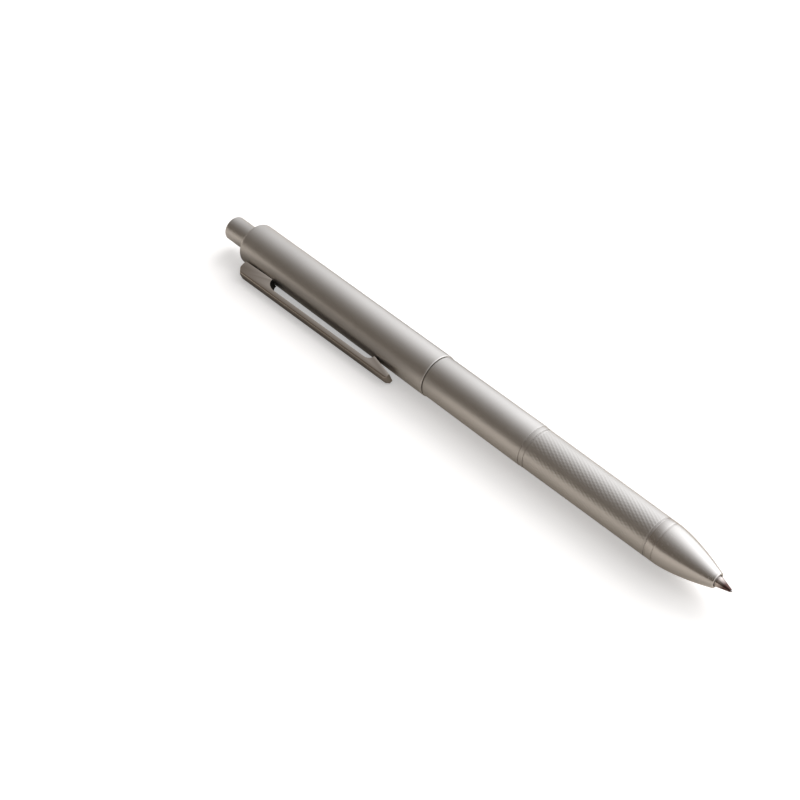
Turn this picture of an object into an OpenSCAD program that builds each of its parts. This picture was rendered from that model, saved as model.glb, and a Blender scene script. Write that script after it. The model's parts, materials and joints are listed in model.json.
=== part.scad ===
// Twist-action multi pen with a push button and a sprung clip.
// The pen lies on the floor along X with its writing tip towards +X. The barrel and one corner of the
// clip touch the floor. Stations along the pen are measured from the writing tip towards the button.

/* [Outside] */
// Length of the writing tip that stands out of the nose
tip_out = 3.5; // [3.2:0.1:4.2]
// Length of the nose cone from its rim to the grip
nose_l = 14.5; // [13.5:0.1:15.5]
// Outer diameter of the rim at the front of the nose
nose_rim_d = 3.05; // [2.9:0.05:3.4]
// Depth of the rounded front of the nose
nose_front_l = 0.35; // [0.2:0.05:0.6]
// Diameter of the nose just behind its rounded front
nose_front_d = 3.64; // [3.56:0.02:3.9]
// Diameter of the nose behind its groove
nose_d = 9.15; // [9:0.05:9.4]
// Fullness of the nose's outline: 1 is a straight cone, 2 a parabola
nose_power = 1.6; // [1.4:0.05:2]
// Width of the smooth band behind the nose groove
band_l = 1.8; // [1.2:0.1:2.4]
// Length of the cross-cut grip
grip_l = 32.1; // [28:0.1:34]
// Diameter at the front of the grip
grip_front_d = 9.2; // [9.15:0.05:9.5]
// Diameter at the back of the grip
grip_rear_d = 9.6; // [9.4:0.05:9.8]
// Spacing of the two ring grooves behind the grip
ring_pitch = 1.2; // [0.9:0.1:2]
// Diameter of the plain part of the front barrel
collar_d = 9.8; // [9.7:0.05:10.1]
// Diameter of the upper barrel
upper_d = 10.2; // [10.1:0.05:10.6]
// Length of the upper barrel
upper_l = 61; // [58.5:0.1:66]
// Rounding of the upper barrel's top edge
shoulder_r = 0.8; // [0.4:0.1:1.6]
// Width of the decorative grooves
groove_w = 0.4; // [0.3:0.05:0.6]
// Depth of the decorative grooves
groove_depth = 0.15; // [0.1:0.05:0.25]
// Bevel on the two edges of the seam
seam_bevel = 0.1; // [0.05:0.05:0.3]
// Diameter of the push button
button_d = 5.9; // [5.2:0.1:6.2]
// Length of the push button above the barrel
button_out = 7.9; // [6:0.1:10]
// Rounding of the push button's end
button_r = 0.6; // [0.3:0.1:1.2]

/* [Clip] */
// Length of the clip
clip_l = 49.6; // [46:0.1:53]
// Width of the clip
clip_w = 2.9; // [2.8:0.1:3.6]
// Distance of the clip's back end from the barrel's top
clip_setback = 3.1; // [2:0.1:3.8]
// Radius from the pen's axis to the clip's outer face at its back end
clip_out_rear = 8.5; // [8.3:0.05:9]
// Radius from the pen's axis to the clip's outer face at its free end
clip_out_front = 7.9; // [7.6:0.05:8.2]
// Thickness of the clip arm
arm_t = 1.42; // [1.2:0.02:1.6]
// Length of the tall block at the clip's back end
block_l = 9.2; // [8.6:0.1:10]
// Radius of the hollow between the arm and the block, towards the barrel
notch_r = 1.6; // [1:0.05:1.7]
// Length of that hollow along the arm
notch_l = 2.6; // [1:0.1:3.2]
// Length of the foot's seat on the barrel
foot_seat_l = 0.4; // [0.2:0.1:2]
// Length of the sloped face behind the foot
foot_ramp_l = 2; // [1.5:0.1:3]
// Length of the sloped face at the free end
foot_nose_l = 5.6; // [4:0.1:6]
// Height of the clip's free end above the foot's seat
foot_rise = 1.2; // [0.8:0.05:1.3]
// Rounding of the clip's outer edges
clip_edge_r = 0.6; // [0.4:0.05:0.8]
// Furthest angle that the clip lifts
clip_lift = 2.5; // [1.5:0.1:3]
// Diameter of the clip's hinge pin
pin_d = 0.9; // [0.8:0.02:1]
// Length of the clip's hinge pin
pin_l = 3.8; // [3.2:0.1:4]
// Width of the clip's hinge lug
lug_w = 1.8; // [1.4:0.1:2]

/* [Mechanism] */
// Diameter of a writing insert
refill_d = 2.28; // [2.2:0.01:2.3]
// Length of a writing insert
refill_l = 67; // [65:0.5:70]
// Length of the cone at an insert's writing end
cone_l = 3.4; // [3.2:0.1:4.6]
// Diameter of the ball in a ballpoint
ball_d = 0.6; // [0.5:0.05:0.8]
// Diameter of the hole along an insert
refill_bore_d = 1.6; // [1.5:0.02:1.7]
// Diameter of the pencil lead
lead_d = 0.5; // [0.3:0.1:0.7]
// Distance from the pen's axis to a resting insert
pitch_r = 2.62; // [2.6:0.01:2.7]
// Distance that an insert travels
stroke = 10; // [9:0.5:11]
// Angle between two inserts round the axis
insert_step = 120; // [120]
// Station at which an extended insert crosses the pen's axis
aim_z = 2.5; // [2:0.1:3]
// Direction of the black insert, measured round the axis from the clip
black_angle = 90; // [0:15:345]
// Diameter of a carriage rod
rod_d = 1.6; // [1.4:0.05:1.65]
// Diameter of a carriage head
head_d = 2.7; // [2.6:0.05:2.75]
// Length of a carriage head
head_l = 3; // [2.5:0.1:3.5]
// Length of the pointed cam follower on a carriage
follower_l = 3.1; // [2.9:0.1:3.5]
// Length of the collar at the front of a carriage
stop_l = 2; // [1:0.1:2.4]
// Thickness of the sleeve's guide disc
disc_l = 4.7; // [4.5:0.1:6]
// Length of a compressed return spring
spring_min_l = 6.6; // [6:0.1:8]
// Number of turns in a return spring
spring_turns = 6; // [4:1:6]
// Wire diameter of a return spring
spring_wire = 0.4; // [0.3:0.05:0.45]
// Length of the sleeve's spigot inside the front barrel
spigot_l = 11.2; // [9:0.1:14]
// Length of the nose cone's spigot
nose_spigot_l = 4.8; // [4:0.1:6]
// Length of the cam's body behind its ramps
cam_l = 8; // [6:0.1:9]
// Length of the bush's foot on the cam
bush_foot_l = 5; // [4:0.1:6]
// Diameter of the knock rod
knock_d = 2.4; // [2:0.1:2.6]
// Distance that the push button travels
button_travel = 3.5; // [2.5:0.1:3.6]
// Wire diameter of the button spring
button_wire = 0.5; // [0.4:0.05:0.55]
// Number of turns in the button spring
button_turns = 7; // [5:1:8]
// Wire diameter of the clip spring
clip_wire = 0.3; // [0.25:0.01:0.35]
// Number of turns in the clip spring
clip_turns = 2; // [1.5:0.5:2]

/* [Walls and fits] */
// Wall of the upper barrel
upper_wall = 0.6; // [0.5:0.02:0.62]
// Wall of the front barrel's plain part
collar_wall = 0.65; // [0.55:0.02:0.68]
// End wall of the upper barrel round the button
end_wall = 0.9; // [0.7:0.05:1.2]
// Wall of the nose cone
nose_wall = 0.45; // [0.35:0.01:0.46]
// Radial room between pieces that turn or slide on each other
run_gap = 0.05; // [0.02:0.01:0.08]
// Room between pieces that are pressed or screwed together
seat_gap = 0.02; // [0.01:0.01:0.04]
// Room round an insert in its passage
tunnel_gap = 0.08; // [0.05:0.01:0.09]
// Gap between the two barrels at the seam
seam_gap = 0.2; // [0.1:0.05:0.4]
// Gap at ends of pieces that stop against each other
end_gap = 0.2; // [0.1:0.05:0.25]
// Gap under the clip's foot
foot_gap = 0.1; // [0.05:0.01:0.2]

/* [Hidden] */
$fn = 96;

silver = [0.72, 0.70, 0.69];
bright_silver = [0.78, 0.76, 0.75];
dark_chrome = [0.42, 0.40, 0.39];
steel = [0.62, 0.62, 0.64];
brass = [0.78, 0.63, 0.32];
ivory = [0.88, 0.86, 0.80];
ink_black = [0.12, 0.12, 0.13];
ink_red = [0.70, 0.12, 0.12];
rubber = [0.10, 0.10, 0.10];

// Radii that the walls and fits leave
upper_r = upper_d/2;
upper_bore_r = upper_r - upper_wall;
collar_r = collar_d/2;
collar_bore_r = collar_r - collar_wall;
refill_r = refill_d/2;
refill_bore_r = refill_bore_d/2;
refill_reach = pitch_r + refill_r;
head_reach = pitch_r + head_d/2;
tunnel_r = refill_reach + tunnel_gap;
sleeve_r = upper_bore_r - run_gap;
spigot_r = collar_bore_r - seat_gap;
cam_chamber_r = head_reach + run_gap;
bush_r = upper_bore_r - seat_gap;

// How far a cutting shape runs past the piece that it cuts
past = 1;

// Stations along the pen, from the tip towards the button
hinge_inset = 1;
slack_l = 1.4;
seam_lead = 1.3;
follower_gap = 1.5*end_gap;
nose_z = tip_out;
band_z = nose_z + nose_l - band_l;
grip_z = nose_z + nose_l;
rings_z = grip_z + grip_l;
plain_z = rings_z + ring_pitch + groove_w;
hinge_z = refill_l - hinge_inset;
stop_z = refill_l + end_gap;
disc_z = stop_z + stop_l + stroke + slack_l;
disc_end_z = disc_z + disc_l;
head_z = disc_end_z + spring_min_l;
follower_z = head_z + head_l;
apex_z = follower_z + follower_l + follower_gap;
cam_z = apex_z + stroke;
cam_end_z = cam_z + cam_l;
seam_z = disc_z - seam_lead;
upper_z = seam_z + seam_gap;
top_z = upper_z + upper_l;
roof_z = top_z - end_wall;
end_z = top_z + button_out;
sleeve_front_z = seam_z - spigot_l;
sleeve_end_z = cam_z - end_gap;

// Angle by which an extended insert leans to bring its tip to the axis
lean = atan(pitch_r/(hinge_z - aim_z));

// Nose: its outline is a curve that runs into the smooth band without a kink
nose_hole_gap = 0.19;
nose_spigot_wall = 0.3;
nose_r = nose_d/2;
nose_front_r = nose_front_d/2;
ogive_l = nose_l - band_l - nose_front_l;
ogive_drop = nose_r - nose_front_r;
nose_hole_r = refill_r + nose_hole_gap;
nose_spigot_r = tunnel_r + nose_spigot_wall;
nose_socket_r = nose_spigot_r + seat_gap;
grip_bore_r = tunnel_r + tunnel_gap;
function ogive(z) = nose_r - ogive_drop*pow(max(0, band_z - z)/ogive_l, nose_power);

// Button, knock rod and the bush that guides them
button_flange_l = 1;
button_flange_w = 0.55;
button_flange_r = button_d/2 + button_flange_w;
button_room_r = button_flange_r + 3*run_gap;
button_under_z = roof_z - end_gap/2 - button_flange_l;
knock_r = knock_d/2;
knock_seat_l = 4;
knock_room = 0.7;
knock_end_z = cam_z + button_travel + knock_room;
guide_l = 2.5;
guide_z = cam_end_z + bush_foot_l;
spring_seat_z = guide_z + guide_l;
spring_room_r = 2.4;
ledge_z = button_under_z - button_travel - end_gap;

// Clip: its slope, and the stations of its block, lug and foot
clip_end_z = top_z - clip_setback;
clip_tip_z = clip_end_z - clip_l;
block_z = clip_end_z - block_l;
clip_half_w = clip_w/2;
clip_slope = atan((clip_out_rear - clip_out_front)/clip_l);
clip_bevel = 1.1;
seat_r = upper_r + foot_gap;
function clip_out(z) = clip_out_front + (z - clip_tip_z)*tan(clip_slope);

// Hinge of the clip: a pin in the bush, and a lug that reaches in through a slot
pin_back = 2.2;
pin_z = block_z + pin_back;
pin_at_r = 3.5;
pin_r = pin_d/2;
lug_front = 1.9;
lug_rear = 1.5;
lug_eye_wall = 0.3;
lug_eye_r = pin_r + lug_eye_wall;
lug_inner_r = pin_at_r - lug_eye_r;
slot_gap = 0.12;
block_gap_front = 0.08;
block_gap_rear = (clip_end_z - pin_z)*tan(clip_lift) + run_gap;

// Small coil under the block
clip_spring_inset = 2.6;
clip_spring_z = clip_end_z - clip_spring_inset;
clip_spring_gap = 0.1;
clip_spring_room = 0.02;
clip_pocket_r = 1;
clip_pocket_top = 7.2;
clip_spring_r = clip_pocket_r - clip_wire/2 - clip_spring_gap;

// Snap ring and rubber ring between the sleeve and the upper barrel
ring_w = 0.6;
ring_bite = 0.12;
ring_depth = 0.53;
ring_inset = 1.4;
ring_out_r = upper_bore_r + ring_bite;
ring_in_r = upper_bore_r - ring_depth;
ring_z = disc_end_z - ring_inset;
seal_r = 0.26;
seal_gap = 0.04;
seal_inset = 1.4;
seal_z = disc_z + seal_inset;
seal_at_r = upper_bore_r - seal_gap - seal_r;

// Points of the inserts
plug_l = 3;
plug_r = refill_bore_r - seat_gap;
lead_out = 0.5;
lead_hole_r = lead_d/2 + seat_gap;
lead_l = refill_l - 6*hinge_inset;

// The pen rolls until the clip's lower edge and the barrel both touch the floor
edge_at = clip_out(clip_end_z - clip_bevel) - clip_edge_r;
edge_w = clip_half_w - clip_edge_r;
roll = asin((upper_r - clip_edge_r)/norm([edge_at, edge_w])) - atan2(edge_w, edge_at);
clip_reach = edge_at*cos(roll) + edge_w*sin(roll) + clip_edge_r;
axis_y = (clip_reach - upper_r)/2;
axis_z = upper_r;

// Turns the pen's own frame into the lying one: its axis runs along X, and the clip points to -Y
module lay() {
    translate([end_z/2, axis_y, axis_z])
        rotate([90 + roll, 0, 0])
            rotate([0, -90, 0])
                children();
}

// Places a piece of an insert or its carriage at its direction round the axis
module at_insert(turn) {
    rotate([0, 0, black_angle + turn*insert_step])
        translate([pitch_r, 0, 0])
            children();
}

// Leans an extended insert about its hinge, or draws a resting one back
module extended() {
    translate([0, 0, hinge_z])
        rotate([0, lean, 0])
            translate([0, 0, -hinge_z])
                children();
}
module retracted() {
    translate([0, 0, stroke])
        children();
}

module tube(r_out, r_in, z0, z1) {
    difference() {
        translate([0, 0, z0])
            cylinder(r = r_out, h = z1 - z0);
        translate([0, 0, z0 - past])
            cylinder(r = r_in, h = z1 - z0 + 2*past);
    }
}

module v_groove(r, z, w, depth) {
    rotate_extrude()
        polygon([[r - depth, z], [r + depth, z - w], [r + depth, z + w]]);
}

// A coil spring along Z: one tube of six sides swept along a helix
coil_rings = 8;
coil_sides = 6;
coil_room = 0.1;
function coil_centre(i, r, pitch) =
    [r*cos(360*i/coil_rings), r*sin(360*i/coil_rings), pitch*i/coil_rings];
function coil_point(i, k, r, pitch, wire) =
    let (a = 360*i/coil_rings)
    let (climb = atan(pitch/(2*PI*r)))
    let (out = [cos(a), sin(a), 0])
    let (up = [sin(a)*sin(climb), -cos(a)*sin(climb), cos(climb)])
    let (b = 360*k/coil_sides)
    coil_centre(i, r, pitch) + wire/2*(out*cos(b) + up*sin(b));
function coil_gap(r, pitch, wire, rings) =
    min([for (i = [0:rings]) for (j = [i + coil_rings/2 : 1 : rings])
        norm(coil_centre(i, r, pitch) - coil_centre(j, r, pitch))]) - wire;

module coil(name, r, wire, turns, length) {
    rings = round(turns*coil_rings);
    pitch = (length - wire - coil_room)/turns;
    points = [for (i = [0:rings]) for (k = [0:coil_sides - 1]) coil_point(i, k, r, pitch, wire)];
    sides = [for (i = [0:rings - 1]) for (k = [0:coil_sides - 1])
        let (a = i*coil_sides + k)
        let (b = i*coil_sides + (k + 1) % coil_sides)
        each [[a, a + coil_sides, b + coil_sides], [a, b + coil_sides, b]]];
    front = [for (k = [1:coil_sides - 2]) [0, k, k + 1]];
    last = rings*coil_sides;
    back = [for (k = [1:coil_sides - 2]) [last, last + k + 1, last + k]];
    echo(str("least gap of ", name), coil_gap(r, pitch, wire, rings));
    translate([0, 0, wire/2 + coil_room/2])
        polyhedron(points, concat(sides, front, back), convexity = 10);
}

// Front barrel: grip, two ring grooves and the plain collar, one turned tube
module front_barrel() {
    color(silver) lay() difference() {
        rotate_extrude()
            polygon([
                [nose_socket_r, grip_z],
                [grip_front_d/2 - groove_depth, grip_z],
                [grip_front_d/2, grip_z + groove_w],
                [grip_rear_d/2, rings_z - groove_w],
                [collar_r, plain_z],
                [collar_r, seam_z - seam_bevel],
                [collar_r - seam_bevel, seam_z],
                [collar_bore_r, seam_z],
                [collar_bore_r, sleeve_front_z - end_gap],
                [grip_bore_r, sleeve_front_z - end_gap],
                [grip_bore_r, grip_z + nose_spigot_l + end_gap],
                [nose_socket_r, grip_z + nose_spigot_l + end_gap]
            ]);
        v_groove(grip_rear_d/2, rings_z, groove_w/2, groove_depth);
        v_groove((grip_rear_d + collar_d)/4, rings_z + ring_pitch, groove_w/2, groove_depth);
    }
}

// Nose cone: an ogive shell with a rounded rim, a groove and a spigot
module nose_cone() {
    steps = 12;
    round_steps = 5;
    shell_z = nose_z + nose_front_l;
    rim_r = nose_rim_d/2;
    inside_r = tunnel_r + seat_gap;
    inside_z = band_z - nose_wall;
    rounding = [for (i = [0:round_steps]) let (a = 90*i/round_steps)
        [rim_r + (nose_front_r - rim_r)*sin(a), shell_z - nose_front_l*cos(a)]];
    outside = [for (i = [1:steps]) let (z = shell_z + ogive_l*i/steps) [ogive(z), z]];
    inside = [for (i = [steps:-1:0]) let (z = shell_z + (inside_z - shell_z)*i/steps)
        [min(ogive(z) - nose_wall, inside_r), z]];
    color(bright_silver) lay() difference() {
        rotate_extrude()
            polygon(concat(
                rounding,
                outside,
                [[nose_r, grip_z], [nose_spigot_r, grip_z], [nose_spigot_r, grip_z + nose_spigot_l]],
                [[inside_r, grip_z + nose_spigot_l]],
                inside,
                [[nose_hole_r, nose_z]]
            ));
        v_groove(nose_r, band_z, groove_w/2, groove_depth);
    }
}

// Upper barrel: a tube with a rounded shoulder, a hole for the button and a slot for the clip's lug
module upper_barrel() {
    round_steps = 8;
    button_hole_r = button_d/2 + run_gap;
    edge_bevel = seam_bevel + upper_r - collar_r;
    shoulder = [for (i = [0:round_steps]) let (a = 90*i/round_steps)
        [upper_r - shoulder_r + shoulder_r*cos(a), top_z - shoulder_r + shoulder_r*sin(a)]];
    color(silver) lay() difference() {
        rotate_extrude()
            polygon(concat(
                [[upper_bore_r, upper_z], [upper_r - edge_bevel, upper_z]],
                [[upper_r, upper_z + edge_bevel]],
                shoulder,
                [[button_hole_r, top_z], [button_hole_r, roof_z], [upper_bore_r, roof_z]]
            ));
        tube(ring_out_r + run_gap, upper_bore_r - past, ring_z - run_gap, ring_z + ring_w + run_gap);
        lug_slot(upper_r + past);
    }
}

// Slot that the clip's lug passes through, cut in the barrel and in the bush
module lug_slot(reach) {
    slot_w = lug_w + 2*slot_gap;
    translate([lug_inner_r - end_gap, -slot_w/2, pin_z - lug_front - end_gap])
        cube([reach - lug_inner_r + end_gap, slot_w, lug_front + lug_rear + 2*end_gap]);
}

// Push button: a hollow cap with a flange that holds it in the barrel
module push_button() {
    round_steps = 6;
    r = button_d/2;
    flange_z = button_under_z + button_flange_l;
    socket_r = knock_r + seat_gap;
    socket_z = button_under_z + knock_seat_l + seat_gap;
    dome = [for (i = [0:round_steps]) let (a = 90*i/round_steps)
        [r - button_r + button_r*cos(a), end_z - button_r + button_r*sin(a)]];
    color(silver) lay()
        rotate_extrude()
            polygon(concat(
                [[socket_r, button_under_z], [button_flange_r, button_under_z]],
                [[button_flange_r, flange_z], [r, flange_z]],
                dome,
                [[0, end_z], [0, socket_z], [socket_r, socket_z]]
            ));
}

module knock_rod() {
    color(brass) lay()
        translate([0, 0, knock_end_z])
            cylinder(r = knock_r, h = button_under_z + knock_seat_l - knock_end_z);
}

// Bush in the top of the barrel: guides the button and its rod, and carries the clip's hinge pin
module top_bush() {
    foot_bore_r = (knock_r + bush_r)/2;
    guide_r = knock_r + run_gap;
    color(ivory) lay() difference() {
        rotate_extrude()
            polygon([
                [foot_bore_r, cam_end_z],
                [bush_r, cam_end_z],
                [bush_r, roof_z],
                [button_room_r, roof_z],
                [button_room_r, ledge_z],
                [spring_room_r, ledge_z],
                [spring_room_r, spring_seat_z],
                [guide_r, spring_seat_z],
                [guide_r, guide_z],
                [foot_bore_r, guide_z]
            ]);
        lug_slot(bush_r + past);
        pin_shape(pin_r + seat_gap, pin_l + 2*seat_gap);
    }
}

module pin_shape(r, l) {
    translate([pin_at_r, l/2, pin_z])
        rotate([90, 0, 0])
            cylinder(r = r, h = l, $fn = 48);
}

module clip_pin() {
    color(steel) lay()
        pin_shape(pin_r, pin_l);
}

module button_spring() {
    coil_r = (spring_room_r + knock_r)/2;
    color(steel) lay()
        translate([0, 0, spring_seat_z])
            coil("button spring", coil_r, button_wire, button_turns, button_under_z - spring_seat_z);
}

// Clip: its side outline is a block, a straight arm and a foot, and its outer edges are rounded
module clip() {
    arc_steps = 6;
    hollow_z = block_z - notch_l;
    hollow_r = clip_out(hollow_z) - arm_t;
    floor_r = sqrt(upper_r*upper_r - clip_half_w*clip_half_w);
    peak_z = clip_tip_z + foot_nose_l;
    ramp_z = peak_z + foot_seat_l;
    ramp_top = clip_out(ramp_z + foot_ramp_l) - arm_t;
    ramp = [for (i = [arc_steps:-1:0]) let (a = 90*i/arc_steps)
        [ramp_top - (ramp_top - seat_r)*(1 - cos(a)), ramp_z + foot_ramp_l*(1 - sin(a))]];
    hollow = [for (i = [0:arc_steps]) let (a = 90*i/arc_steps)
        [hollow_r - notch_r + notch_r*cos(a), hollow_z + notch_l*sin(a)]];
    outline = concat(
        [[clip_out(clip_tip_z) - clip_edge_r, clip_tip_z], [seat_r + foot_rise, clip_tip_z]],
        [[seat_r, peak_z]],
        ramp,
        hollow,
        [[floor_r, block_z], [floor_r, clip_end_z]],
        [[clip_out(clip_end_z) - clip_bevel, clip_end_z]],
        [[clip_out(clip_end_z) + past, clip_end_z - clip_bevel - past]],
        [[clip_out(clip_tip_z) + past, clip_tip_z + clip_edge_r + past]]
    );
    color(dark_chrome) lay() difference() {
        union() {
            difference() {
                intersection() {
                    translate([0, clip_half_w, 0])
                        rotate([90, 0, 0])
                            linear_extrude(clip_w)
                                polygon(outline);
                    clip_section();
                }
                clip_saddle();
            }
            clip_lug();
        }
        pin_shape(pin_r + run_gap, clip_w);
        translate([upper_r - past, 0, clip_spring_z])
            rotate([0, 90, 0])
                cylinder(r = clip_pocket_r, h = clip_pocket_top - upper_r + past, $fn = 48);
    }
}

// Round hollow under the block, which leaves it room to tip towards the barrel when the clip lifts
module clip_saddle() {
    flare = (block_gap_rear - block_gap_front)*past/block_l;
    translate([0, 0, block_z - past])
        cylinder(r1 = upper_r + block_gap_front - flare, r2 = upper_r + block_gap_rear + flare,
            h = block_l + 2*past);
}

// Cross-section of the clip, with rounded outer edges, swept along its sloping outer face
module clip_section() {
    sweep_l = 2*clip_l;
    translate([clip_out_front, 0, clip_tip_z])
        rotate([0, clip_slope, 0])
            translate([0, 0, -clip_l/2])
                linear_extrude(sweep_l) {
                    translate([-sweep_l, -clip_half_w])
                        square([sweep_l - clip_edge_r, clip_w]);
                    translate([-clip_edge_r, -edge_w])
                        square([clip_edge_r, 2*edge_w]);
                    for (side = [-1, 1])
                        translate([-clip_edge_r, side*edge_w])
                            circle(r = clip_edge_r);
                }
}

// Lug of the clip: a narrow tongue with the hinge eye
module clip_lug() {
    lug_top = clip_out(block_z) - arm_t/2;
    translate([0, lug_w/2, 0])
        rotate([90, 0, 0])
            linear_extrude(lug_w) {
                translate([pin_at_r, pin_z])
                    circle(r = lug_eye_r, $fn = 48);
                polygon([
                    [pin_at_r, pin_z - lug_eye_r],
                    [upper_r, pin_z - lug_front],
                    [lug_top, pin_z - lug_front],
                    [lug_top, pin_z + lug_rear],
                    [upper_r, pin_z + lug_rear],
                    [pin_at_r, pin_z + lug_eye_r]
                ]);
            }
}

module clip_spring() {
    length = clip_pocket_top - upper_r - 3*clip_spring_room;
    color(steel) lay()
        translate([upper_r + clip_spring_room, 0, clip_spring_z])
            rotate([0, 90, 0])
                coil("clip spring", clip_spring_r, clip_wire, clip_turns, length);
}

// Cam cylinder: a pressed-in body whose two ramps rise to one apex and push the carriages forward
module cam_cylinder() {
    bore_r = knock_r + 4*run_gap;
    ramp_r = head_reach - run_gap;
    ramp_inner_r = bore_r + follower_gap;
    root = 1;
    sink = 0.3;
    span = insert_step*(1 + sink/stroke);
    parts = 48;
    sections = [for (i = [0:parts]) let (a = -span + 2*span*i/parts)
        [a, apex_z + stroke*abs(a)/insert_step]];
    points = [for (s = sections) each [
        [ramp_inner_r*cos(s[0]), ramp_inner_r*sin(s[0]), s[1]],
        [ramp_r*cos(s[0]), ramp_r*sin(s[0]), s[1]],
        [ramp_r*cos(s[0]), ramp_r*sin(s[0]), cam_z + root],
        [ramp_inner_r*cos(s[0]), ramp_inner_r*sin(s[0]), cam_z + root]
    ]];
    sides = [for (i = [0:parts - 1]) for (k = [0:3])
        let (a = 4*i + k)
        let (b = 4*i + (k + 1) % 4)
        each [[a, b, b + 4], [a, b + 4, a + 4]]];
    last = 4*parts;
    ends = [[0, 2, 1], [0, 3, 2], [last, last + 1, last + 2], [last, last + 2, last + 3]];
    color(ivory) lay() difference() {
        union() {
            rotate([0, 0, black_angle])
                polyhedron(points, concat(sides, ends), convexity = 6);
            translate([0, 0, cam_z])
                cylinder(r = bush_r, h = cam_l);
        }
        translate([0, 0, cam_z - past])
            cylinder(r = bore_r, h = cam_l + 2*past);
    }
}

// Inner sleeve: its spigot holds the front barrel, its disc guides the carriages, and the barrel turns on it
module inner_sleeve() {
    hole_r = rod_d/2 + run_gap;
    seal_groove_w = 2*seal_r + 4*seal_gap;
    color(ivory) lay() difference() {
        rotate_extrude()
            polygon([
                [tunnel_r, sleeve_front_z],
                [spigot_r, sleeve_front_z],
                [spigot_r, upper_z],
                [sleeve_r, upper_z],
                [sleeve_r, sleeve_end_z],
                [cam_chamber_r, sleeve_end_z],
                [cam_chamber_r, disc_end_z],
                [0, disc_end_z],
                [0, disc_z],
                [tunnel_r, disc_z]
            ]);
        for (turn = [0:2])
            at_insert(turn)
                translate([0, 0, disc_z - past])
                    cylinder(r = hole_r, h = disc_l + 2*past, $fn = 48);
        tube(sleeve_r + past, ring_in_r - seat_gap, ring_z - seat_gap, ring_z + ring_w + seat_gap);
        tube(sleeve_r + past, seal_at_r - seal_r - seal_gap, seal_z - seal_groove_w/2,
            seal_z + seal_groove_w/2);
    }
}

// Snap ring that keeps the upper barrel on the sleeve
module retaining_ring() {
    mouth = 1.2;
    color(steel) lay() difference() {
        tube(ring_out_r, ring_in_r, ring_z, ring_z + ring_w);
        translate([0, -mouth/2, ring_z - past])
            cube([ring_out_r + past, mouth, ring_w + 2*past]);
    }
}

// Rubber ring that gives the twist its steady drag
module friction_ring() {
    color(rubber) lay()
        rotate_extrude()
            translate([seal_at_r, seal_z])
                circle(r = seal_r, $fn = 48);
}

// Carriage: a ball in the back of the insert, a stop collar, a rod, a head and a pointed cam follower
module carriage() {
    ball_r = refill_bore_r - 1.6*run_gap;
    neck_r = 0.45;
    point_r = 0.15;
    head_bevel = 0.5;
    ball_steps = 8;
    reach = asin(neck_r/ball_r);
    ball = [for (i = [0:ball_steps]) let (a = i*(180 - reach)/ball_steps)
        [ball_r*sin(a), hinge_z - ball_r*cos(a)]];
    rotate_extrude($fn = 64)
        polygon(concat(ball, [
            [neck_r, stop_z],
            [refill_r, stop_z],
            [refill_r, stop_z + stop_l],
            [rod_d/2, stop_z + stop_l],
            [rod_d/2, head_z],
            [head_d/2, head_z],
            [head_d/2, follower_z],
            [head_d/2 - head_bevel, follower_z],
            [point_r, follower_z + follower_l],
            [0, follower_z + follower_l]
        ]));
}

module return_spring(name, length) {
    translate([0, 0, disc_end_z])
        coil(name, (rod_d + spring_wire)/2 + 2*run_gap, spring_wire, spring_turns, length);
}

// Insert tube, ballpoint cone and ball, drawn with the tip at station 0
module insert_tube() {
    rotate_extrude($fn = 64)
        polygon([
            [refill_bore_r, cone_l],
            [refill_r, cone_l],
            [refill_r, refill_l],
            [refill_bore_r, refill_l]
        ]);
}

module ball_cone() {
    ball_r = ball_d/2;
    lip_r = 1.12*ball_r;
    land_l = 0.3;
    difference() {
        rotate_extrude($fn = 64)
            polygon([
                [0, ball_r],
                [lip_r, ball_r],
                [refill_r, cone_l - land_l],
                [refill_r, cone_l],
                [plug_r, cone_l],
                [plug_r, cone_l + plug_l],
                [0, cone_l + plug_l]
            ]);
        translate([0, 0, ball_r])
            sphere(r = ball_r + seat_gap, $fn = 48);
    }
}

module writing_ball() {
    translate([0, 0, ball_d/2])
        sphere(r = ball_d/2, $fn = 48);
}

module black_carriage() {
    color(ink_black) lay() at_insert(0) carriage();
}
module black_spring() {
    color(steel) lay() at_insert(0) return_spring("black return spring", spring_min_l);
}
module black_tube() {
    color(steel) lay() at_insert(0) extended() insert_tube();
}
module black_tip() {
    color(brass) lay() at_insert(0) extended() ball_cone();
}
module black_ball() {
    color(steel) lay() at_insert(0) extended() writing_ball();
}

module red_carriage() {
    color(ink_red) lay() at_insert(1) retracted() carriage();
}
module red_spring() {
    color(steel) lay() at_insert(1) return_spring("red return spring", spring_min_l + stroke);
}
module red_tube() {
    color(steel) lay() at_insert(1) retracted() insert_tube();
}
module red_tip() {
    color(brass) lay() at_insert(1) retracted() ball_cone();
}
module red_ball() {
    color(steel) lay() at_insert(1) retracted() writing_ball();
}

module pencil_carriage() {
    color(ivory) lay() at_insert(2) retracted() carriage();
}
module pencil_spring() {
    color(steel) lay() at_insert(2) return_spring("pencil return spring", spring_min_l + stroke);
}
module pencil_tube() {
    color(steel) lay() at_insert(2) retracted() insert_tube();
}

// Pencil point: a cone with a lead pipe
module pencil_tip() {
    pipe_wall = 0.15;
    pipe_l = 1;
    pipe_r = lead_d/2 + pipe_wall;
    color(brass) lay() at_insert(2) retracted()
        rotate_extrude($fn = 64)
            polygon([
                [lead_hole_r, lead_out],
                [pipe_r, lead_out],
                [pipe_r, lead_out + pipe_l],
                [refill_r, cone_l],
                [plug_r, cone_l],
                [plug_r, cone_l + plug_l],
                [lead_hole_r, cone_l + plug_l]
            ]);
}
module pencil_lead() {
    color(ink_black) lay() at_insert(2) retracted()
        cylinder(d = lead_d, h = lead_l, $fn = 32);
}

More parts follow.
